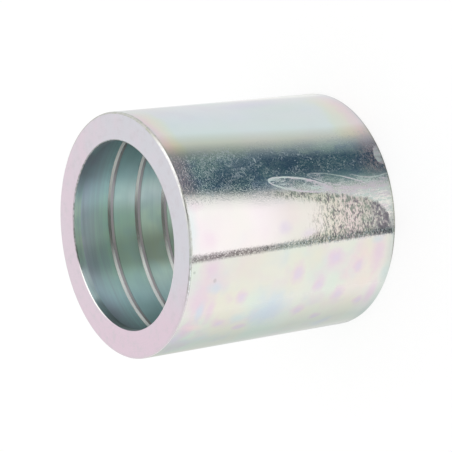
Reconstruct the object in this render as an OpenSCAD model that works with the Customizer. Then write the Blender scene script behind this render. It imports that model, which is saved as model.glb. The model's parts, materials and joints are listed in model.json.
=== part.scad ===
// Crimp ferrule for a hydraulic hose: one turned steel sleeve, standing on its hose end.
// Sizes are in millimetres. The axis is +Z and the origin is the centre of the hose end's face.

/* [Barrel] */
// Outside diameter of the sleeve, before it is crimped
outer_d = 56; // [54:0.5:70]
// Length of the sleeve, from the hose end to the collar's face
length = 56.7; // [45:0.1:80]
// Thickness of the wall round the hose chamber
wall = 2; // [1.6:0.1:2.8]
// Radius that breaks the outer edge at each end
edge_r = 0.5; // [0.2:0.1:0.7]

/* [Collar] */
// Diameter of the mouth, which closes into the groove of the hose insert
mouth_d = 43.1; // [38:0.1:45]
// Length of the mouth's straight land, from the collar's face
mouth_land = 2; // [1.2:0.1:3]
// Radius that breaks the mouth's edge
mouth_edge_r = 0.3; // [0.1:0.1:0.6]
// Length of the steep shoulder that opens from the mouth to the chamber
shoulder_l = 1.5; // [0.8:0.1:4]

/* [Teeth] */
// Distance from the collar's face to the foot of the first tooth
first_tooth = 12.1; // [11:0.1:16]
// Distance from one tooth to the next
tooth_pitch = 7.6; // [5:0.1:10]
// Height of a tooth above the chamber's wall
tooth_h = 0.5; // [0.3:0.1:1]
// Length of each flank, along the axis
flank_l = 0.5; // [0.3:0.1:0.8]
// Length of the flat crest
crest_l = 0.7; // [0.3:0.1:1.5]

/* [Hose end] */
// Shortest plain land between the last tooth and the hose end
entry_land = 3; // [2.5:0.1:8]
// Width of the bevel that leads the hose in
entry_bevel = 0.8; // [0.4:0.1:1]

/* [Hidden] */
$fn = 128;

outer_r = outer_d / 2;
mouth_r = mouth_d / 2;
chamber_r = outer_r - wall;
crest_r = chamber_r - tooth_h;
tooth_l = 2 * flank_l + crest_l;
tooth_room = length - first_tooth - tooth_l - entry_land;
last_tooth = floor(tooth_room / tooth_pitch);

// Points of a rounded corner about a centre, from one angle to another
function corner(centre, r, from, to, steps = 6) = [
    for (i = [0 : steps])
        let (a = from + (to - from) * i / steps)
        centre + r * [cos(a), sin(a)]
];

// One tooth of the section, a narrow ridge whose upper flank starts at height z
function tooth(z) = [
    [chamber_r, z],
    [crest_r, z - flank_l],
    [crest_r, z - flank_l - crest_l],
    [chamber_r, z - tooth_l]
];

// Half section of the sleeve: up the outside, over the collar, and down the bore to the hose end
function section() = concat(
    corner([outer_r - edge_r, edge_r], edge_r, -90, 0),
    corner([outer_r - edge_r, length - edge_r], edge_r, 0, 90),
    corner([mouth_r + mouth_edge_r, length - mouth_edge_r], mouth_edge_r, 90, 180),
    [
        [mouth_r, length - mouth_land],
        [chamber_r, length - mouth_land - shoulder_l]
    ],
    [for (i = [0 : last_tooth]) each tooth(length - first_tooth - i * tooth_pitch)],
    [
        [chamber_r, entry_bevel],
        [chamber_r + entry_bevel, 0]
    ]
);

module ferrule() {
    color("lightgray")
        rotate_extrude()
            polygon(section());
}

ferrule();
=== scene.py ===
"""The looks of a zinc-plated crimp ferrule, turned from steel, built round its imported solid."""

import functools
import json
import math

import bpy
from mathutils import Matrix, Vector


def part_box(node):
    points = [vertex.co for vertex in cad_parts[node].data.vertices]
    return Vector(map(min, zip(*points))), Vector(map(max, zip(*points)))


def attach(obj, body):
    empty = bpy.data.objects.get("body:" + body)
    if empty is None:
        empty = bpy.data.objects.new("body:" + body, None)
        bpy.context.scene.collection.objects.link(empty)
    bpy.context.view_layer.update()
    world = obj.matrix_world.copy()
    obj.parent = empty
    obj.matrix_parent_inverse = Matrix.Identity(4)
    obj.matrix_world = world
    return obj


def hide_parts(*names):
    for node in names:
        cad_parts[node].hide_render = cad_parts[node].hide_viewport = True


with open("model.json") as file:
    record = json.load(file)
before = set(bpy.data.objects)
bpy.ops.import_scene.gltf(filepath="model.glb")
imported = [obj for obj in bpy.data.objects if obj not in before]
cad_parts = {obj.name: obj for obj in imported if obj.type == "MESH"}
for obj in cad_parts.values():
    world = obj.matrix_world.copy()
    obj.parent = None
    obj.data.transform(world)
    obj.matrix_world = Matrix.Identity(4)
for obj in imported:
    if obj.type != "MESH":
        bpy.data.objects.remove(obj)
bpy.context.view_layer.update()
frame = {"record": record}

MM = 0.001

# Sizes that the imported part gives, in metres
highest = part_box("ferrule")[1]
mounts = {mount["name"]: mount for mount in frame["record"]["mounts"]}
LENGTH = highest.z
OUTER_R = highest.x
MOUTH_R = mounts["collar_bore"]["dims"]["r_mm"] * MM
CREST_R = mounts["hose_bore"]["dims"]["r_mm"] * MM

# Sizes of the turned section, in metres
TOOTH_H = 0.5 * MM
CHAMBER_R = CREST_R + TOOTH_H
MOUTH_LAND = 2.0 * MM
SHOULDER_L = 1.5 * MM
FIRST_TOOTH = 12.1 * MM
TOOTH_PITCH = 7.6 * MM
TOOTH_COUNT = 6
FLANK_L = 0.5 * MM
CREST_L = 0.7 * MM
ENTRY_BEVEL = 0.8 * MM
EDGE_R = 0.5 * MM
MOUTH_EDGE_R = 0.3 * MM

# How finely the mesh is made
SPIN_STEPS = 240
EDGE_SEGMENTS = 4
MERGE_WITHIN = 0.01 * MM
ON_RING_WITHIN = 0.02 * MM
FLANK_INSET = 0.1 * MM
SMOOTH_ANGLE = math.radians(25)

# The finishes, in the order of the mesh's material slots
OUTSIDE, BORE, FLANK = range(3)

# The materials' own unit is the millimetre
LENGTH_MM = LENGTH / MM
OUTER_R_MM = OUTER_R / MM
MOUTH_R_MM = MOUTH_R / MM
CREST_R_MM = CREST_R / MM
BARREL_GRAIN_H = 0.05 * MM
TOOL_MARK_H = 0.01 * MM

# The photograph's view: the collar face's centre from the camera, in outside diameters, then the axis's turn
# and rise, and the focal length in frame widths
FACE_RIGHT, FACE_UP, FACE_AHEAD = -0.420, -0.040, 7.646
AXIS_TURN = math.radians(55.90)
AXIS_RISE = math.radians(6.39)
FOCAL_IN_FRAMES = 1902.1 / 452
SENSOR_MM = 36.0

# Colours of the passivation film on the barrel, and of the painted reflection and painted shade on it
WHITE_FILM = (0.84, 0.82, 0.81)
PALE_PINK_FILM = (0.85, 0.79, 0.81)
PEACH_FILM = (0.97, 0.74, 0.72)
CREAM_FILM = (0.81, 0.79, 0.67)
GREEN_FILM = (0.74, 0.82, 0.73)
GREENISH_FILM = (0.85, 0.84, 0.75)
PINK_FILM = (0.80, 0.63, 0.75)
PURPLE_FILM = (0.95, 0.64, 0.72)
LAVENDER_FILM = (0.76, 0.69, 0.81)
BLUE_LAVENDER_FILM = (0.70, 0.71, 0.83)
BLUE_FILM = (0.63, 0.73, 0.81)
CYAN_FILM = (0.64, 0.78, 0.79)
LOW_FILM = (0.80, 0.81, 0.75)
# Painted reflection: blue and teal for the stripe where the barrel mirrors the dark flag
REFLECTION_BLUE = (0.46, 0.60, 0.76)
REFLECTION_TEAL = (0.78, 0.96, 0.91)
# Painted shade towards the hose end, lighter and darker
HOSE_END_SHADE = (0.64, 0.70, 0.66)
HOSE_END_DARK_SHADE = (0.40, 0.44, 0.43)

# Colours of the collar's face and edges
FACE_PINK = (0.80, 0.68, 0.755)
FACE_DEEP_PINK = (0.815, 0.655, 0.745)
FACE_LAVENDER = (0.718, 0.715, 0.765)
FACE_GREY = (0.66, 0.62, 0.66)
# Painted highlight on the collar's outer edge and on the mouth's rim
EDGE_HIGHLIGHT = (0.95, 0.94, 0.90)
EDGE_GREY = (0.42, 0.42, 0.35)

# Colours of stains, deposits and pits
LAVENDER_STAIN = (0.86, 0.80, 0.86)
GREEN_STAIN = (0.79, 0.89, 0.86)
DEPOSIT = (0.52, 0.62, 0.66)
BROWN_DEPOSIT = (0.42, 0.34, 0.35)
GREEN_PIT = (0.19, 0.24, 0.21)
PURPLE_PIT = (0.13, 0.12, 0.155)
FLECK = (0.80, 0.78, 0.72)
WORN_GREEN = (0.52, 0.62, 0.54)
WORN_PINK = (0.80, 0.64, 0.68)

# Colours of the bore and of the teeth
# Painted light: the bore's wall lighter deep in
BORE_DEEP_LIGHT = (0.80, 1.0, 0.84)
BORE_SHADE = (0.42, 0.50, 0.38)
BORE_BLUE = (0.56, 0.76, 0.83)
BORE_TEAL = (0.44, 0.66, 0.66)
BORE_LIT = (0.88, 1.0, 0.97)
# Painted shade in the bore's corners near the mouth
LAND_CORNER_SHADE = (0.42, 0.43, 0.51)
LAND_LIT = (0.95, 1.0, 0.98)
# Painted shade on the low side of the land by the mouth
LAND_LOW_SHADE = (0.28, 0.31, 0.33)
TOOL_MARK = (0.46, 0.54, 0.58)
CREST_FILM = (0.60, 0.54, 0.56)
FLANK_PALE = (0.49, 0.51, 0.48)
FLANK_GREY = (0.41, 0.425, 0.41)
# Painted shade on the teeth's flanks on the low side
FLANK_LOW_SHADE = (0.28, 0.30, 0.30)

# Zones on the barrel, as the arcs from the camera's side, in millimetres, at which each one begins, is full,
# begins to end, and has ended
THIN_LINE = (-8.2, -7.6, -6.6, -6.0)
BESIDE_LINE = (-8.4, -7.8, -6.5, -5.7)
CALM_SIDE = (-9, -6, 34, 42)
BRIGHT_ZONE = (-8.5, -6.5, 7, 10)
BAND = (5, 8, 14, 18)
BROWN_ZONE = (6, 8, 12, 16)
ABOVE_BAND = (17, 20, 23, 28)
FAR_SIDE = (14, 19, 28, 40)

# Patches of film on the barrel: colour, strength, arc from the camera's side, height, half arc and half
# height in millimetres, and lean in degrees, if any
FILM_PATCHES = [
    (CREAM_FILM, 0.6, -11.5, 41.0, 5.0, 8.0), (CREAM_FILM, 0.8, -10.8, 22.8, 4.0, 3.4),
    (GREEN_FILM, 0.6, -10.5, 55.5, 3.0, 2.0), (PINK_FILM, 0.6, -9.6, 51.0, 2.0, 3.0),
    (PINK_FILM, 0.7, -17.0, 53.0, 7.0, 4.0), (PINK_FILM, 0.6, -20.5, 49.4, 4.0, 1.2),
    (BLUE_FILM, 0.6, -14.6, 49.5, 1.6, 2.2), (BLUE_FILM, 0.7, -20.5, 52.2, 2.8, 1.2),
    (PINK_FILM, 0.8, -26.0, 54.0, 3.5, 2.6), (LAVENDER_FILM, 0.8, -29.0, 55.5, 2.2, 1.6),
    (BLUE_FILM, 0.8, -23.5, 32.5, 6.0, 5.5), (CYAN_FILM, 0.6, -24.5, 40.5, 1.7, 2.6),
    (PEACH_FILM, 0.4, -17.0, 9.0, 8.0, 6.5), (PINK_FILM, 0.7, -12.0, 4.6, 5.5, 2.2),
    (PINK_FILM, 0.8, -23.5, 3.4, 4.0, 1.7), (CYAN_FILM, 0.75, -17.6, 1.0, 2.6, 1.8),
    (CYAN_FILM, 0.5, -8.6, 5.2, 1.0, 2.0), (LAVENDER_FILM, 0.85, -3.0, 31.4, 1.7, 2.0),
    (LAVENDER_FILM, 0.75, -5.2, 25.0, 1.4, 2.2), (CYAN_FILM, 0.5, -1.0, 56.2, 6.0, 2.0),
    (PINK_FILM, 0.4, -3.6, 51.5, 2.2, 2.4), (PINK_FILM, 0.35, 4.2, 54.0, 1.4, 2.2),
    (LAVENDER_FILM, 0.5, 33.0, 24.0, 3.0, 9.0), (GREEN_FILM, 0.4, 30.0, 18.0, 4.0, 12.0),
    (GREEN_FILM, 0.6, 20.5, 45.0, 3.0, 9.0), (PEACH_FILM, 0.5, -25.5, 52.0, 1.2, 3.2, 12),
    (LAVENDER_FILM, 0.9, 16.0, 2.4, 3.4, 2.4)]

# Pink spots on the barrel: arc, height, half arc and half height, as above
PINK_SPOTS = [
    (-14.0, 27.3, 2.7, 2.0), (-18.0, 20.5, 2.1, 1.7), (-21.7, 13.8, 2.2, 1.9), (-18.0, 41.7, 2.0, 1.7),
    (-25.2, 23.8, 1.8, 1.8), (-29.0, 17.0, 1.3, 1.7), (-25.3, 6.3, 1.6, 1.5), (-14.4, 10.0, 2.1, 1.7),
    (-11.3, 17.2, 2.0, 2.3), (-25.3, 45.5, 1.5, 1.7), (-28.0, 38.7, 1.3, 1.8)]

# Ovals on the barrel: arc, height, half arc, half height and lean, as above
FIRST_DROP = (6.1, 25.8, 1.7, 8.2, 12)
SECOND_DROP = (5.9, 14.6, 1.3, 8.4, 15)
DARK_LENS = (7.4, 16.5, 0.6, 4.0, 15)
BARE_SPOT = (5.0, 9.0, 0.9, 3.4, 15)
EDGE_PATCH = (10.9, 0.6, 2.6, 2.1)
SCRATCH = (13.0, 35.2, 0.8, 0.2)
DIRT = (-12.8, 49.9, 0.6, 0.5)
EDGE_DIRT = (-10.2, 55.5, 0.4, 0.4)

# Colours of the film on the barrel's far side, by the distance from the nearer end as a share of its reach
END_FILM_REACH = 12
END_FILM = [
    (0.0, (0.76, 0.66, 0.66)), (0.2, (0.95, 0.69, 0.67)), (0.42, (0.92, 0.79, 0.64)),
    (0.7, (0.84, 0.83, 0.68)), (1.0, WHITE_FILM)]

# Colours of the film left between the pits, by the height as a share of its reach
WORN_FILM_REACH = 26
WORN_FILM = [
    (0.0, (0.21, 0.205, 0.24)), (0.14, (0.27, 0.265, 0.30)), (0.32, (0.50, 0.48, 0.44)),
    (0.5, (0.74, 0.59, 0.62)), (0.75, (0.74, 0.70, 0.60)), (1.0, (0.76, 0.71, 0.62))]

# Colours round the collar's rounded outer edge, from the low side to the top: film low down, then painted
# shade, a painted highlight, and a darker grey at the top
LIP_FILM_SHADE_HIGHLIGHT = [
    (0.0, (0.78, 0.70, 0.74)), (0.2, (0.72, 0.66, 0.69)), (0.28, (0.42, 0.42, 0.39)),
    (0.36, (0.46, 0.48, 0.44)), (0.5, (0.76, 0.78, 0.72)), (0.62, EDGE_HIGHLIGHT),
    (0.82, EDGE_HIGHLIGHT), (0.88, (0.50, 0.52, 0.44)), (1.0, (0.55, 0.56, 0.50))]

# Colours of the film in the bore, by the depth from the collar's face as a share of its reach
BORE_FILM_REACH = 12
BORE_FILM = [
    (0.0, (0.64, 0.78, 0.58)), (0.18, (0.68, 0.82, 0.68)), (0.36, (0.80, 0.82, 0.92)),
    (0.55, (0.60, 0.70, 0.73)), (0.8, (0.54, 0.76, 0.64)), (1.0, (0.56, 0.80, 0.66))]

# Colours of the studio's cards
WHITE = (1, 1, 1)
DARK = (0.046, 0.084, 0.115)
SLATE = (0.05, 0.05, 0.04)
GREY_FLAG = (0.10, 0.10, 0.09)
TOP_LOW = (0.60, 0.64, 0.60)
TOP_HIGH = (0.74, 0.845, 0.91)
BRIGHT_HOSE = (1.02, 1.02, 0.97)
BRIGHT_COLLAR = (1.14, 1.15, 1.13)
LINE_HOSE = (0.31, 0.36, 0.34)
LINE_COLLAR = (0.26, 0.24, 0.25)
LINE_SIDE_HOSE = (0.9, 0.9, 0.88)
LINE_SIDE_COLLAR = (0.9, 0.9, 0.9)

# Cards on the floor: name, low edge and high edge as the azimuths in degrees at which the barrel mirrors them
# at the hose end and at the collar, colours from edge to edge, and other colours near the collar, if any
FLOOR_CARDS = [
    ("dark_flag", (2.5, 8.5), (36, 38), [
        (0.0, (0.88, 0.92, 0.89)), (0.12, (0.68, 0.74, 0.70)), (0.18, (0.48, 0.54, 0.51)),
        (0.24, (0.27, 0.32, 0.32)), (0.35, (0.11, 0.16, 0.19)), (0.45, DARK), (0.65, DARK),
        (0.79, (0.25, 0.29, 0.29)), (1.0, TOP_LOW)], [
        (0.0, (0.94, 0.98, 0.95)), (0.08, (0.64, 0.70, 0.66)), (0.11, (0.36, 0.41, 0.39)),
        (0.15, (0.15, 0.20, 0.21)), (0.20, (0.07, 0.12, 0.15)), (0.30, DARK), (0.45, (0.06, 0.11, 0.14)),
        (0.62, (0.11, 0.16, 0.17)), (0.78, (0.22, 0.27, 0.26)), (0.90, (0.42, 0.47, 0.43)), (1.0, TOP_LOW)]),
    ("top_card", (36, 38), (80, 85), [
        (0.0, TOP_LOW), (0.15, TOP_HIGH), (0.85, (0.81, 0.83, 0.86)), (1.0, WHITE)]),
    ("bright_card", (-12.6, -12.7), (2.5, 8.5), [
        (0.0, BRIGHT_HOSE), (0.7, BRIGHT_HOSE), (1.0, (0.90, 0.92, 0.87))], [
        (0.0, BRIGHT_COLLAR), (0.8, BRIGHT_COLLAR), (1.0, (0.97, 1.0, 0.97))]),
    ("thin_flag", (-16.2, -16.1), (-12.6, -12.7), [
        (0.0, LINE_SIDE_HOSE), (0.3, LINE_HOSE), (0.7, LINE_HOSE), (1.0, LINE_SIDE_HOSE)], [
        (0.0, LINE_SIDE_COLLAR), (0.3, LINE_COLLAR), (0.7, LINE_COLLAR), (1.0, LINE_SIDE_COLLAR)]),
    ("low_card", (-88, -88), (-42, -42), [
        (0.0, (0.85, 0.86, 0.85)), (0.13, (0.73, 0.75, 0.74)), (0.2, (0.69, 0.71, 0.70)),
        (0.32, (0.64, 0.68, 0.67)), (0.5, (0.64, 0.695, 0.69)), (1.0, WHITE)])]

# A floor card's reach and the stretches where its colours change to the collar's and fade into the floor's
# white, in lengths of the ferrule from the hose end, and its height above the floor
CARD_REACH = 2.6
CARD_TURNS_UNTIL = 1.2
CARD_CHANGES = (0.5, 0.8)
CARD_FADES = (1.1, 2.5)
CARD_LIFT = 0.1 * MM

# Cards in the air, which the collar and the bore mirror: name, four corners in metres, and colour
HUNG_CARDS = [
    ("camera_side_flag", [
        (0.03, -0.5, 0.0), (0.34, -0.5, 0.0), (0.03, -0.5, 0.6), (0.36, -0.5, 0.6)], SLATE),
    ("overhead_flag", [
        (-0.34, -0.5, 0.7), (0.14, -0.5, 0.7), (-0.34, -0.2, 0.7), (0.10, -0.2, 0.7)], GREY_FLAG),
    ("softbox", [
        (0.5, -0.6, 0.35), (0.5, 0.3, 0.35), (0.4, -0.6, 1.0), (0.4, 0.3, 1.0)], (1.5, 1.5, 1.5)),
    ("upper_strip", [
        (0.49, -0.5, 0.2), (0.9, -0.3, 0.2), (0.4, -0.5, 0.7), (0.9, -0.3, 0.7)], (1.7, 1.8, 1.9)),
    ("lower_strip", [
        (-0.34, -0.5, 0.25), (-0.85, -0.5, 0.25), (-0.36, -0.5, 0.8), (-0.85, -0.5, 0.8)], (2.2, 2.35, 2.5))]

# The floor's size in metres, its paint and glow, and the strength of the light from all round
FLOOR_SIZE = 4
FLOOR_PAINT = (0.3, 0.3, 0.3)
FLOOR_GLOW = 0.75
ROOM_LIGHT = 0.9


class Wire:
    """A socket of a node tree. Arithmetic on it adds Math nodes, and node() adds any other node."""

    def __init__(self, tree, socket=None):
        self.tree = tree
        self.socket = socket

    def node(self, kind, settings=None, inputs=None, output=0):
        made = self.tree.nodes.new("ShaderNode" + kind)
        for name, value in (settings or {}).items():
            if name == "stops":
                self.set_stops(made.color_ramp.elements, value)
            else:
                setattr(made, name, value)
        for name, value in (inputs or {}).items():
            if isinstance(value, Wire):
                self.tree.links.new(value.socket, made.inputs[name])
            else:
                made.inputs[name].default_value = value
        return Wire(self.tree, made.outputs[output] if made.outputs else None)

    @staticmethod
    def set_stops(elements, stops):
        while len(elements) > len(stops):
            elements.remove(elements[-1])
        while len(elements) < len(stops):
            elements.new(1)
        for element, (place, colour) in zip(elements, stops):
            element.position = place
            element.color = (*colour, 1)

    def output(self, name):
        """Another output of the node that this wire comes from."""
        return Wire(self.tree, self.socket.node.outputs[name])

    def math(self, operation, *values):
        return self.node("Math", {"operation": operation}, dict(enumerate(values)))

    def __add__(self, other):
        return self.math("ADD", self, other)

    def __radd__(self, other):
        return self.math("ADD", other, self)

    def __sub__(self, other):
        return self.math("SUBTRACT", self, other)

    def __rsub__(self, other):
        return self.math("SUBTRACT", other, self)

    def __mul__(self, other):
        return self.math("MULTIPLY", self, other)

    def __rmul__(self, other):
        return self.math("MULTIPLY", other, self)

    def __truediv__(self, other):
        return self.math("DIVIDE", self, other)

    def __rtruediv__(self, other):
        return self.math("DIVIDE", other, self)

    def __neg__(self):
        return self.math("MULTIPLY", self, -1)

    def __abs__(self):
        return self.math("ABSOLUTE", self)

    def at_most(self, limit):
        return self.math("MINIMUM", self, limit)

    def rise(self, low, high):
        """Goes smoothly from 0 at low to 1 at high."""
        values = {"Value": self, "From Min": low, "From Max": high}
        return self.node("MapRange", {"interpolation_type": "SMOOTHSTEP"}, values)

    def fall(self, low, high):
        """Goes smoothly from 1 at low to 0 at high."""
        values = {"Value": self, "From Min": low, "From Max": high, "To Min": 1, "To Max": 0}
        return self.node("MapRange", {"interpolation_type": "SMOOTHSTEP"}, values)

    def within(self, begins, full, ending, ended):
        """Rises from 0 to 1 and falls back to 0."""
        return self.rise(begins, full) * self.fall(ending, ended)

    def ramp(self, *stops):
        """A colour for each value, from (value, colour) stops."""
        return self.node("ValToRGB", {"stops": stops}, {"Fac": self})

    def tint(self, under, over):
        """The colour under where this is 0, and the colour over where it is 1."""
        colours = [c if isinstance(c, Wire) else (*c, 1) for c in (under, over)]
        return self.node("Mix", {"data_type": "RGBA"}, {0: self, 6: colours[0], 7: colours[1]}, 2)


def new_material(name):
    """An empty material and a wire that stands for its tree."""
    material = bpy.data.materials.new(name)
    material.use_nodes = True
    material.node_tree.nodes.clear()
    return material, Wire(material.node_tree)


class Surface:
    """Places on the ferrule in millimetres, with the barrel unrolled as arc and height."""

    def __init__(self, tree):
        self.tree = tree
        self.place = tree.node("Mapping", None, {
            "Vector": tree.node("TexCoord").output("Object"), "Scale": (1 / MM, 1 / MM, 1 / MM)})
        self.x = tree.node("SeparateXYZ", None, {0: self.place})
        self.y, self.z = self.x.output("Y"), self.x.output("Z")
        self.radius = tree.math("SQRT", self.x * self.x + self.y * self.y)
        self.arc = tree.math("ARCTAN2", self.x, -self.y) * OUTER_R_MM
        self.unrolled = tree.node("CombineXYZ", None, {"X": self.arc, "Y": self.z})

    def noise(self, size, stretch=(1, 1, 1), detail=2, rough=0.5, shift=0):
        """Cloudy values round 0.5, with features of about a size, stretched along x, y and z."""
        scale = [1 / (size * s) for s in stretch]
        spot = self.tree.node("Mapping", None, {
            "Vector": self.place, "Location": (shift, shift, shift), "Scale": scale})
        return self.tree.node("TexNoise", None, {
            "Vector": spot, "Scale": 1, "Detail": detail, "Roughness": rough})

    def oval(self, arc, height, half_arc, half_height, lean=0, ragged=0):
        """0 at the middle of an oval on the unrolled barrel and 1 on its rim, turned by a lean in degrees."""
        turn = math.radians(lean)
        across = Vector((math.cos(turn), -math.sin(turn), 0))
        along = Vector((math.sin(turn), math.cos(turn), 0))
        middle = Vector((arc, height, 0))
        turned = self.unrolled
        if lean:
            turned = self.tree.node("CombineXYZ", None, {
                axis: self.tree.node("VectorMath", {"operation": "DOT_PRODUCT"}, {0: turned, 1: way}, "Value")
                for axis, way in (("X", across), ("Y", along))})
        local = self.tree.node("VectorMath", {"operation": "MULTIPLY_ADD"}, {
            0: turned, 1: (1 / half_arc, 1 / half_height, 0),
            2: (-middle.dot(across) / half_arc, -middle.dot(along) / half_height, 0)})
        length = self.tree.node("VectorMath", {"operation": "LENGTH"}, {0: local}, "Value")
        return length + self.raggedness * ragged if ragged else length

    @functools.cached_property
    def raggedness(self):
        """Small values round 0 that make an oval's rim ragged."""
        return self.noise(1.6, shift=7) - 0.5


def barrel_film(at):
    """The barrel's passivation: soft clouds, calmer on the camera's side, and patches and spots, with a
    painted reflection where it mirrors the dark flag and painted shade at the hose end's low side.
    """
    film = at.arc.rise(-9, -6).tint(LOW_FILM, WHITE_FILM)
    film = at.arc.within(*BRIGHT_ZONE).tint(film, PALE_PINK_FILM)
    # Painted reflection: a blue and teal mottle over the film along the stripe where the barrel mirrors the
    # dark flag, with purple film towards the stripe's ends
    mottle = at.noise(5, (1, 1, 2), detail=6, rough=0.75, shift=52)
    reflection_tint = mottle.rise(0.4, 0.6).tint(REFLECTION_BLUE, REFLECTION_TEAL)
    film = ((at.arc - at.z * 0.05).rise(3, 6) * at.arc.fall(13, 18)).tint(film, reflection_tint)
    band_ends = at.z.fall(1.5, 8) + at.z.rise(LENGTH_MM - 6, LENGTH_MM - 2)
    film = (band_ends * at.arc.within(*BAND) * 0.7).tint(film, PURPLE_FILM)
    cloudy = 1 - at.arc.within(*CALM_SIDE) * 0.75
    film = (at.noise(12, detail=1, shift=3).rise(0.30, 0.65) * cloudy * 0.8).tint(film, CREAM_FILM)
    film = (at.noise(10, detail=1, shift=31).rise(0.40, 0.70) * cloudy).tint(film, GREEN_FILM)
    film = (at.noise(8, detail=2, shift=57).rise(0.48, 0.75) * cloudy * 0.6).tint(film, PINK_FILM)
    film = (at.noise(7, detail=2, shift=83).rise(0.52, 0.80) * cloudy * 0.5).tint(film, BLUE_FILM)
    for colour, strength, *place in FILM_PATCHES:
        patch = at.oval(*place, ragged=0.6).fall(0.1, 1.4)
        film = (patch * strength).tint(film, colour)
    for arc, height, half_arc, half_height in PINK_SPOTS:
        spot = at.oval(arc, height, half_arc, half_height, ragged=0.9).fall(0.2, 1.4)
        film = (spot * 0.75).tint(film, PINK_FILM)
        core = at.oval(arc - 0.3, height - 0.2, half_arc * 0.7, half_height * 0.7, ragged=0.9)
        film = (core.fall(0.1, 1.3) * 0.35).tint(film, BLUE_LAVENDER_FILM)
    # Painted shade at the hose end on the low side
    film = (at.z.fall(0.4, 3.2) * at.arc.fall(-8, -6.5) * 0.75).tint(film, HOSE_END_SHADE)
    from_end = at.z.at_most((LENGTH_MM - at.z) * 1.7) + (at.noise(5, shift=14) - 0.5) * 5
    film = (at.arc.within(*ABOVE_BAND) * 0.5).tint(film, GREENISH_FILM)
    near_end = from_end.fall(7, END_FILM_REACH) * at.arc.within(*FAR_SIDE) * 0.85
    return near_end.tint(film, (from_end / END_FILM_REACH).ramp(*END_FILM))


def worn_film(at):
    """The film left between the pits: cream, then pink, olive, and purple at the hose end."""
    film = (at.z / WORN_FILM_REACH + (at.noise(2.5, shift=61) - 0.5) * 0.3).ramp(*WORN_FILM)
    film = (at.noise(0.9, (1, 1, 0.6), shift=101).rise(0.5, 0.7) * 0.5).tint(film, WORN_GREEN)
    return (at.noise(1.1, (1, 1, 0.6), shift=113).rise(0.5, 0.7) * 0.4).tint(film, WORN_PINK)


def face_film(at):
    """The collar face's colours: pink, lavender towards one side, in soft blotches and faint turned rings."""
    lean = (at.y * -0.9 + at.x * 0.3) / OUTER_R_MM + (at.noise(5, shift=21) - 0.5) * 2
    film = lean.rise(-0.8, 0.9).tint(FACE_PINK, FACE_LAVENDER)
    film = ((at.x + (at.noise(6, shift=71) - 0.5) * 12).fall(-24, -8) * 0.9).tint(film, FACE_DEEP_PINK)
    blotches = at.noise(1.8, detail=3, rough=0.6, shift=91).rise(0.45, 0.75)
    rings = at.tree.node("TexNoise", {"noise_dimensions": "1D"}, {"W": at.radius, "Scale": 2.5, "Detail": 3})
    return (rings.rise(0.45, 0.75) * 0.2 + blotches * 0.5).tint(film, FACE_GREY)


def film_edge(at):
    """How far above the dried water's lower edge a place on the barrel lies, in millimetres."""
    return at.arc - (at.z * 0.12 + 1.7 - 15 / (at.z + 0.6)) + (at.noise(1.2, shift=9) - 0.5) * 1.6


def rim(at, drop, thick):
    """The thin rim that a drying drop leaves, as a ring between two ovals."""
    arc, height, half_arc, half_height, lean = drop
    outside = at.oval(*drop, ragged=0.12)
    inside = at.oval(arc, height, half_arc - thick, half_height - thick, lean, 0.12)
    return outside.fall(0.96, 1.04) * inside.rise(0.96, 1.04)


def water_stain(at):
    """How thickly the dried water's film and its rims lie on the barrel, from 0 to 1."""
    texture = at.noise(0.4, detail=3, rough=0.7, shift=2).rise(0.38, 0.62)
    streaks = at.noise(0.5, (1, 1, 5), detail=2, shift=8).rise(0.35, 0.65)
    first = rim(at, FIRST_DROP, 0.42)
    second = rim(at, SECOND_DROP, 0.3) * (0.5 + 0.5 * at.z.fall(10, 16))
    past_turn = at.z - 4.5
    tail = abs(at.arc - 5.8 - past_turn * past_turn * 0.03).fall(0.08, 0.25) * at.z.fall(9, 12)
    lens = at.oval(*SECOND_DROP, ragged=0.3).rise(0.75, 1.0) * 0.35 + 0.65
    drop = at.oval(*FIRST_DROP, ragged=0.2).fall(0.9, 1.0) * (0.72 + 0.35 * at.z.fall(18, 26))
    dark_lens = at.oval(*DARK_LENS, ragged=0.3).fall(0.5, 1.1)
    fill = at.oval(*SECOND_DROP, ragged=0.2).fall(0.9, 1.0) * at.arc.rise(5.0, 6.6)
    fill = fill * (0.42 - 0.4 * dark_lens)
    threads = at.noise(0.22, (1, 1, 14), detail=1, shift=58).rise(0.6, 0.68)
    sheet = film_edge(at).rise(-0.4, 0.8) * at.arc.fall(5.0, 6.6) * at.z.fall(17, 25) * lens
    sheet = (sheet + drop * 0.9 + fill) * (0.75 * texture + 0.72 * streaks + 0.4 * threads - 0.22)
    bare = at.oval(*BARE_SPOT, ragged=0.6).fall(0.5, 1.1)
    bare = bare * at.noise(0.5, detail=3, shift=62).rise(0.4, 0.6)
    sheet = sheet * (1 - 0.75 * bare)
    edge_patch = at.oval(*EDGE_PATCH, ragged=0.3).fall(0.85, 1.0) * (0.6 + 0.3 * streaks)
    return (first + second * 0.85 + tail * 0.6 + sheet + edge_patch).at_most(1)


def pitted_zone(at):
    """Where the plating is pitted and scratched near the hose end, from 0 to 1."""
    along = at.z + (at.noise(0.8, (4, 4, 1), shift=17) - 0.5) * 8
    deep = along.fall(16, 27) * 0.42 + at.z.fall(1, 12) * 0.62
    below_film = film_edge(at)
    sides = below_film.rise(-2.6, -0.6) * at.z.fall(28, 40) + at.arc.fall(-6.2, -4.6) * at.z.fall(18, 34)
    return (deep + sides * 0.35) * below_film.fall(-0.4, 0.8) * at.arc.rise(-8.0, -7.0)


def thin_line(at):
    """1 along the thin line on the barrel's low side, and 0 elsewhere."""
    return at.arc.within(*THIN_LINE)


def line_grain(at):
    """The grain of the deposits along the thin line."""
    return at.noise(0.5, detail=2, rough=0.6, shift=84).rise(0.50, 0.62) * thin_line(at)


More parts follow.
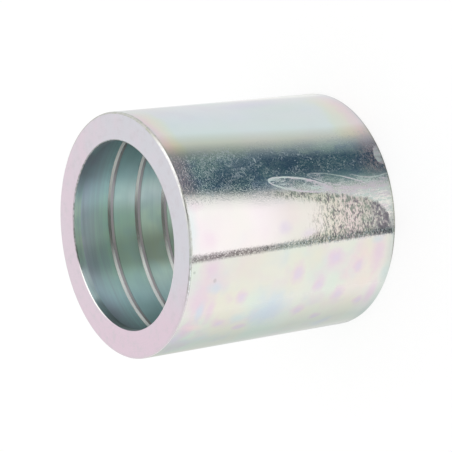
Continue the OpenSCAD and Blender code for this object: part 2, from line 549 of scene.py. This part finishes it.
def deposit_specks(at):
    """Pale specks of dried salts on the barrel, which show where it mirrors something dark."""
    grain = at.noise(0.5, detail=4, rough=0.75, shift=5).rise(0.46, 0.60)
    clouds = at.noise(2.5, (1, 1, 2), shift=15).rise(0.42, 0.66)
    thick = 0.08 + 0.62 * clouds * (0.4 + 0.6 * at.z.rise(14, 30))
    thick = thick + 0.2 * at.z.rise(28, 46) * at.arc.rise(10, 13)
    dots = at.noise(0.6, detail=0, shift=33).rise(0.72, 0.80)
    zone = (at.arc - at.z * 0.06).rise(1.5, 4) * at.arc.fall(15, 19)
    scratch = at.oval(*SCRATCH, ragged=0.3).fall(0.7, 1.1)
    rubs = at.noise(0.35, (7, 7, 1), detail=1, shift=29).rise(0.58, 0.72) * at.z.rise(45, 53) * 0.35
    line = line_grain(at) * at.z.fall(34, 42) * 0.5
    thick = thick * (0.35 + 0.65 * at.z.fall(48, 53))
    return (grain * thick + dots * 0.6 + rubs) * zone + scratch + line


def brown_specks(at):
    """Brownish specks on the barrel, near both ends and on the thin line by the collar."""
    ends = at.z.fall(2, 11) + at.z.rise(LENGTH_MM - 5, LENGTH_MM - 1) * 0.25
    grain = at.noise(0.5, detail=3, rough=0.6, shift=25).rise(0.42, 0.60)
    line = line_grain(at) * at.z.rise(34, 42) * 0.9
    return grain * ends * at.arc.within(*BROWN_ZONE) * 0.9 + line


def on_barrel(at):
    """1 on the barrel and 0 on the collar's face and in the bore."""
    return at.radius.rise(OUTER_R_MM - 0.3, OUTER_R_MM - 0.1)


def pit_holes(at, pits):
    """Small holes in the pitted zone and, fainter, beside the thin line."""
    grains = at.noise(0.32, (2.2, 2.2, 1.0), detail=3, rough=0.65, shift=40)
    coarse = at.noise(1.3, (1, 1, 0.7), detail=2, shift=47) - 0.5
    pitted = pits.rise(0, 0.4)
    holes = (grains + coarse * 0.5 + pits * 0.07).rise(0.47, 0.63) * pitted
    beside_line = at.arc.within(*BESIDE_LINE) * on_barrel(at)
    return holes + (grains + coarse * 0.4).rise(0.50, 0.64) * beside_line * (1 - pitted) * 0.42


def pitted_film(at, film, pits):
    """The film where it is pitted: worn colours, pale flecks, dark holes, and two spots of dirt apart."""
    film = (pits.rise(0, 0.5) * 0.85).tint(film, worn_film(at))
    flecks = at.noise(0.34, (2.2, 2.2, 1.1), detail=2, rough=0.6, shift=77).rise(0.54, 0.70)
    film = (flecks * pits.rise(0.1, 0.6) * 0.8).tint(film, FLECK)
    pit = (at.noise(1.4, shift=73) + at.z.fall(2, 9) * 0.3).rise(0.45, 0.65).tint(GREEN_PIT, PURPLE_PIT)
    dirt = at.oval(*DIRT, ragged=0.3).fall(0.4, 1.2) + at.oval(*EDGE_DIRT).fall(0.4, 1.2)
    return (pit_holes(at, pits) * 0.85 + dirt * 0.25).tint(film, pit)


def collar_edges(at, film, lip):
    """The collar's edges: the outer edge greyer and speckled on its upper part, with painted shade and a
    painted highlight round it, and the mouth's rim with a painted highlight on the low side and darker,
    speckled, on the upper side.
    """
    speckled = at.noise(0.8, detail=3, shift=66).rise(0.4, 0.6)
    # The collar's outer edge greyer and speckled on its upper part
    grey_top_edge = at.z.rise(LENGTH_MM - 0.75, LENGTH_MM - 0.6) * on_barrel(at)
    grey_top_edge = grey_top_edge * at.x.rise(-8, -3) * (0.4 + 0.6 * speckled)
    film = (grey_top_edge * 0.7).tint(film, EDGE_GREY)
    # Painted shade and a painted highlight round the collar's outer edge, over its film, changing with height
    edge_light_and_film = (at.x / (2 * OUTER_R_MM) + 0.5).ramp(*LIP_FILM_SHADE_HIGHLIGHT)
    film = (lip * (0.5 + 0.5 * speckled)).tint(film, edge_light_and_film)
    mouth_rim = at.radius.fall(MOUTH_R_MM + 0.2, MOUTH_R_MM + 0.35)
    # Painted highlight along the mouth's rim on the low side; darker and speckled on the upper side
    film = (mouth_rim * at.x.within(-20, -15, -7, -4)).tint(film, EDGE_HIGHLIGHT)
    return (mouth_rim * at.x.rise(-6, -3) * (0.5 + 0.4 * speckled)).tint(film, GREEN_PIT)


def hose_end_greys(at, colour):
    """Painted shade that greys the barrel towards the hose end, and the dark line along its edge."""
    # Painted shade near the hose end, deeper just below the camera's side
    colour = (at.z.fall(0.4, 2.4) * at.arc.within(-4, -2, 4, 8) * 0.5).tint(colour, HOSE_END_SHADE)
    colour = (at.z.fall(0.6, 2.6) * at.arc.within(-8, -6, -4, -2) * 0.8).tint(colour, HOSE_END_DARK_SHADE)
    edge_line = at.z.within(0.15, 0.3, 0.5, 0.7) * at.arc.rise(-18, -10)
    return (edge_line * 0.7).tint(colour, EDGE_GREY)


def barrel_grain(at, pits, on_face):
    """The barrel's fine unevenness, which breaks up what it mirrors."""
    shimmer = at.noise(0.3, (1.2, 1.2, 0.9), detail=2, rough=0.6).rise(0.5, 0.75)
    shaky = (at.arc - at.z * 0.05).rise(0, 3) * at.arc.fall(14, 18) * (0.15 + 0.15 * at.z.rise(20, 40))
    feathered = at.z.within(17, 24, 36, 44) * at.arc.within(0.5, 2.5, 5.5, 7)
    line = thin_line(at)
    shaky = shaky + line * 0.18 + pits * 0.5
    mottle = at.noise(0.6, detail=5, rough=0.8, shift=95)
    height = shimmer * shaky + mottle * (feathered * 0.8 + line * 0.05)
    return at.tree.node("Bump", None, {
        "Height": height * (1 - on_face), "Strength": 1.0, "Distance": BARREL_GRAIN_H})


def finish_outside():
    """Zinc plate with a pale iridescent passivation, on the barrel and the end faces."""
    material, tree = new_material("zinc_outside")
    at = Surface(tree)
    on_face = at.z.rise(LENGTH_MM - 0.3, LENGTH_MM - 0.1)
    stain = water_stain(at)
    pits = pitted_zone(at)
    specks = deposit_specks(at) * (1 - on_face)
    lip = (at.z + at.radius - (LENGTH_MM + OUTER_R_MM) + 1).rise(0.5, 0.6)
    film = pitted_film(at, barrel_film(at), pits)
    film = on_face.tint(film, face_film(at))
    film = collar_edges(at, film, lip)
    brown = brown_specks(at) * 0.65 * (1 - on_face)
    dried = at.noise(1.6, (1, 1, 3), shift=44).rise(0.4, 0.6).tint(LAVENDER_STAIN, GREEN_STAIN)
    colour = stain.tint(brown.tint(specks.tint(film, DEPOSIT), BROWN_DEPOSIT), dried)
    shader = tree.node("BsdfPrincipled", None, {
        "Base Color": hose_end_greys(at, colour),
        "Normal": barrel_grain(at, pits, on_face),
        "Metallic": (1 - stain * 0.5) * (1 - specks * 0.8) * (1 - brown * 0.8),
        "Roughness": 0.07 + stain * 0.75 + pits * 0.06 + lip * 0.2 + on_face * 0.23})
    tree.node("OutputMaterial", None, {"Surface": shader})
    return material


def finish_bore():
    """The bore's turned surface: fine rings of tool marks, with the film lying greener and thicker, painted
    light deep in, beyond the first tooth on the upper side and low on the mouth land, and painted shade in
    the corners by the mouth, on the mouth land's low side and beyond the first tooth in the middle.
    """
    material, tree = new_material("zinc_bore")
    at = Surface(tree)
    depth = LENGTH_MM - at.z
    marks = at.noise(0.35, (40, 40, 1), detail=3, rough=0.7)
    film = (depth / BORE_FILM_REACH).ramp(*BORE_FILM)
    # Painted light: the wall lighter deep in the bore
    film = depth.rise(18, 22).tint(film, BORE_DEEP_LIGHT)
    shaded = (depth.rise(11, 14) * 0.42 + depth.rise(17, 21) * 0.48) * at.x.within(-10, -6, -3, 4)
    film = shaded.tint(film, BORE_SHADE)
    film = (abs(at.x).rise(6, 16) * 0.7).tint(film, BORE_BLUE)
    # Painted shade in the bore's corners near the mouth, above and below
    corners = at.x.rise(8, 16) + at.x.fall(-18, -12)
    film = (corners * depth.fall(5, 11)).tint(film, LAND_CORNER_SHADE)
    film = (at.x.within(-15, -12, -7, -4) * depth.fall(3, 5)).tint(film, LAND_LIT)
    # Painted shade on the low side of the land by the mouth
    film = (at.x.fall(-16, -13) * depth.fall(2, 3.5)).tint(film, LAND_LOW_SHADE)
    lit = (depth.rise(11, 14) * 0.5 + depth.rise(17, 20) * 0.5) * at.x.within(4, 9, 9, 15)
    film = lit.tint(film, BORE_LIT)
    film = (at.noise(5, detail=1, shift=19).rise(0.4, 0.7) * 0.35).tint(film, BORE_TEAL)
    streaks = at.noise(0.9, (20, 20, 1), detail=2, shift=6).rise(0.35, 0.65) * (0.1 + 0.3 * depth.fall(9, 13))
    rings = marks.rise(0.3, 0.7) * (0.06 + 0.12 * depth.fall(9, 13))
    film = (rings + streaks).tint(film, TOOL_MARK)
    crest = at.radius.fall(CREST_R_MM + 0.1, CREST_R_MM + 0.2) * depth.rise(8, 9)
    shader = tree.node("BsdfPrincipled", None, {
        "Base Color": crest.tint(film, CREST_FILM),
        "Metallic": 1,
        "Roughness": 0.28 + 0.16 * depth.rise(2, 4),
        "Anisotropic": 1,
        "Anisotropic Rotation": 0.25,
        "Normal": tree.node("Bump", None, {"Height": marks, "Strength": 1.0, "Distance": TOOL_MARK_H})})
    tree.node("OutputMaterial", None, {"Surface": shader})
    return material


def finish_flanks():
    """The teeth's flanks, smoother than the wall between them, with painted shade on the low side."""
    material, tree = new_material("zinc_flanks")
    at = Surface(tree)
    marks = at.noise(0.6, (12, 12, 1), detail=3, rough=0.6, shift=36)
    film = marks.rise(0.3, 0.7).tint(FLANK_PALE, FLANK_GREY)
    # Painted shade on the flanks' low side
    film = (at.x.fall(-16, -6) * 0.5).tint(film, FLANK_LOW_SHADE)
    shader = tree.node("BsdfPrincipled", None, {
        "Base Color": film, "Metallic": 1, "Roughness": 0.22 + marks * 0.08})
    tree.node("OutputMaterial", None, {"Surface": shader})
    return material


def section():
    """Corners of the half section as (radius, height), up the outside from the hose end and down the bore."""
    points = [(OUTER_R, 0), (OUTER_R, LENGTH), (MOUTH_R, LENGTH), (MOUTH_R, LENGTH - MOUTH_LAND)]
    points.append((CHAMBER_R, LENGTH - MOUTH_LAND - SHOULDER_L))
    for i in range(TOOTH_COUNT):
        foot = LENGTH - FIRST_TOOTH - i * TOOTH_PITCH
        crest = foot - FLANK_L
        points += [(CHAMBER_R, foot), (CREST_R, crest), (CREST_R, crest - CREST_L)]
        points.append((CHAMBER_R, crest - CREST_L - FLANK_L))
    return points + [(CHAMBER_R, ENTRY_BEVEL), (CHAMBER_R + ENTRY_BEVEL, 0)]


def turn_ferrule():
    """Draws the half section as a chain of edges, spins it round the axis and breaks its edges."""
    bpy.ops.object.select_all(action="DESELECT")
    points = [Vector((0, -r, z)) for r, z in section()]
    bpy.ops.mesh.primitive_plane_add(size=MM)
    piece = bpy.context.object
    piece.name = "zinc_ferrule"
    bpy.ops.object.mode_set(mode="EDIT")
    bpy.ops.mesh.select_all(action="SELECT")
    bpy.ops.mesh.merge(type="CENTER")
    bpy.ops.transform.translate(value=points[0])
    for a, b in zip(points, points[1:] + points[:1]):
        bpy.ops.mesh.extrude_vertices_move(TRANSFORM_OT_translate={"value": b - a})
    bpy.ops.mesh.select_all(action="SELECT")
    bpy.ops.mesh.remove_doubles(threshold=MERGE_WITHIN)
    bpy.ops.mesh.spin(steps=SPIN_STEPS, angle=2 * math.pi, center=(0, 0, 0), axis=(0, 0, 1))
    bpy.ops.mesh.select_all(action="SELECT")
    bpy.ops.mesh.remove_doubles(threshold=MERGE_WITHIN)
    bpy.ops.mesh.normals_make_consistent(inside=False)
    bpy.ops.object.mode_set(mode="OBJECT")
    break_edge(piece, [(OUTER_R, 0), (OUTER_R, LENGTH)], EDGE_R)
    break_edge(piece, [(MOUTH_R, LENGTH)], MOUTH_EDGE_R)
    bpy.ops.object.shade_smooth_by_angle(angle=SMOOTH_ANGLE)
    return piece


def break_edge(piece, corners, radius):
    """Rounds the rings of edges that run through the given corners of the section."""
    bpy.ops.object.mode_set(mode="EDIT")
    bpy.ops.mesh.select_mode(type="EDGE")
    bpy.ops.mesh.select_all(action="DESELECT")
    bpy.ops.object.mode_set(mode="OBJECT")

    def on_ring(index, corner):
        place = piece.data.vertices[index].co
        off = max(abs(place.xy.length - corner[0]), abs(place.z - corner[1]))
        return off < ON_RING_WITHIN

    for edge in piece.data.edges:
        edge.select = any(all(on_ring(i, corner) for i in edge.vertices) for corner in corners)
    bpy.ops.object.mode_set(mode="EDIT")
    bpy.ops.mesh.bevel(offset=radius, segments=EDGE_SEGMENTS, affect="EDGES")
    bpy.ops.object.mode_set(mode="OBJECT")


def finish_at(face):
    """The finish of a face of the turned mesh."""
    radius = face.center.xy.length
    if radius > CHAMBER_R + ENTRY_BEVEL or face.center.z > LENGTH - MOUTH_EDGE_R:
        return OUTSIDE
    on_flank = CREST_R + FLANK_INSET < radius < CHAMBER_R - FLANK_INSET
    if on_flank and face.center.z < LENGTH - FIRST_TOOTH:
        return FLANK
    inward = face.normal.xy.dot(face.center.xy) < 0
    return BORE if inward else OUTSIDE


def aim_camera():
    """Sets the camera where the photograph's stood, with the ferrule's axis lying across the picture."""
    across = math.cos(AXIS_RISE)
    z_axis = -Vector((math.sin(AXIS_TURN) * across, math.sin(AXIS_RISE), -math.cos(AXIS_TURN) * across))
    back = Vector((0, 0, 1))
    x_axis = z_axis.cross(back).normalized()
    y_axis = z_axis.cross(x_axis)
    part_from_view = Matrix((x_axis, y_axis, z_axis))
    face = Vector((FACE_RIGHT, FACE_UP, -FACE_AHEAD)) * 2 * OUTER_R
    place = Vector((0, 0, LENGTH)) - part_from_view @ face
    data = bpy.data.cameras.new("camera")
    data.sensor_width = SENSOR_MM
    data.lens = FOCAL_IN_FRAMES * SENSOR_MM
    data.clip_start, data.clip_end = 0.01, 10
    camera = bpy.data.objects.new("camera", data)
    camera.matrix_world = Matrix.Translation(place) @ part_from_view.to_4x4()
    bpy.context.scene.collection.objects.link(camera)
    bpy.context.scene.camera = camera
    return place


def floor_mirrored_at(azimuth, height):
    """The floor point that the barrel mirrors to the camera from an azimuth in degrees and a height."""
    a = math.radians(azimuth)
    normal = Vector((math.sin(a), -math.cos(a), 0))
    place = normal * OUTER_R + Vector((0, 0, height))
    ray = (place - camera_place).normalized()
    ray = ray - 2 * ray.dot(normal) * normal
    return place - ray * (place.z / ray.z)


def hide_from_camera(card):
    """Leaves a card to be seen in the metal alone."""
    card.visible_camera = False
    card.visible_diffuse = False
    card.visible_shadow = False


def lay_card(name, low_edge, high_edge, stops, collar_stops=None):
    """A card on the floor that the barrel mirrors between two edges. Its colours run from the low edge to the
    high edge, may differ near the collar, and fade into the floor's white."""
    bpy.ops.object.select_all(action="DESELECT")
    bpy.ops.mesh.primitive_grid_add(x_subdivisions=8, y_subdivisions=60, size=1)
    card = bpy.context.object
    card.name = name
    for vertex in card.data.vertices:
        across = vertex.co.x + 0.5
        along = (vertex.co.y + 0.5) * CARD_REACH
        hose, collar = (low + (high - low) * across for low, high in zip(low_edge, high_edge))
        azimuth = hose + (collar - hose) * min(along, CARD_TURNS_UNTIL)
        place = floor_mirrored_at(azimuth, LENGTH * along)
        vertex.co = (place.x, place.y, CARD_LIFT)
    material, tree = new_material(name)
    across = tree.node("SeparateXYZ", None, {0: tree.node("TexCoord").output("UV")})
    along = across.output("Y") * CARD_REACH
    colour = across.ramp(*stops)
    if collar_stops:
        colour = along.rise(*CARD_CHANGES).tint(colour, across.ramp(*collar_stops))
    colour = along.rise(*CARD_FADES).tint(colour, WHITE)
    tree.node("OutputMaterial", None, {"Surface": tree.node("Emission", None, {"Color": colour})})
    card.data.materials.append(material)
    hide_from_camera(card)


def hang_card(name, corners, colour):
    """A flat card with given corners, all of one colour."""
    bpy.ops.object.select_all(action="DESELECT")
    bpy.ops.mesh.primitive_plane_add(size=1)
    card = bpy.context.object
    card.name = name
    for vertex, corner in zip(card.data.vertices, corners):
        vertex.co = corner
    material, tree = new_material(name)
    tree.node("OutputMaterial", None, {"Surface": tree.node("Emission", None, {"Color": (*colour, 1)})})
    card.data.materials.append(material)
    hide_from_camera(card)


def lay_floor():
    """A white floor that keeps a soft shadow round the ferrule, and looks as white in the metal."""
    bpy.ops.object.select_all(action="DESELECT")
    bpy.ops.mesh.primitive_plane_add(size=FLOOR_SIZE)
    floor = bpy.context.object
    floor.name = "floor"
    material, tree = new_material("floor")
    path = tree.node("LightPath")
    seen = path + path.output("Is Glossy Ray") + path.output("Is Transmission Ray")
    glow = tree.node("Emission", None, {"Strength": seen * FLOOR_GLOW})
    paint = tree.node("BsdfDiffuse", None, {"Color": (*FLOOR_PAINT, 1)})
    tree.node("OutputMaterial", None, {"Surface": tree.node("AddShader", None, {0: glow, 1: paint})})
    floor.data.materials.append(material)


def light_room():
    """Even white light from all round."""
    world = bpy.data.worlds.new("world")
    bpy.context.scene.world = world
    world.use_nodes = True
    background = world.node_tree.nodes["Background"]
    background.inputs["Color"].default_value = (*WHITE, 1)
    background.inputs["Strength"].default_value = ROOM_LIGHT


camera_place = aim_camera()
ferrule = turn_ferrule()
for finish in (finish_outside, finish_bore, finish_flanks):
    ferrule.data.materials.append(finish())
for face in ferrule.data.polygons:
    face.material_index = finish_at(face)
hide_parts("ferrule")
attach(ferrule, "root")

lay_floor()
for card in FLOOR_CARDS:
    lay_card(*card)
for card in HUNG_CARDS:
    hang_card(*card)
light_room()
bpy.context.scene.view_settings.view_transform = "Standard"
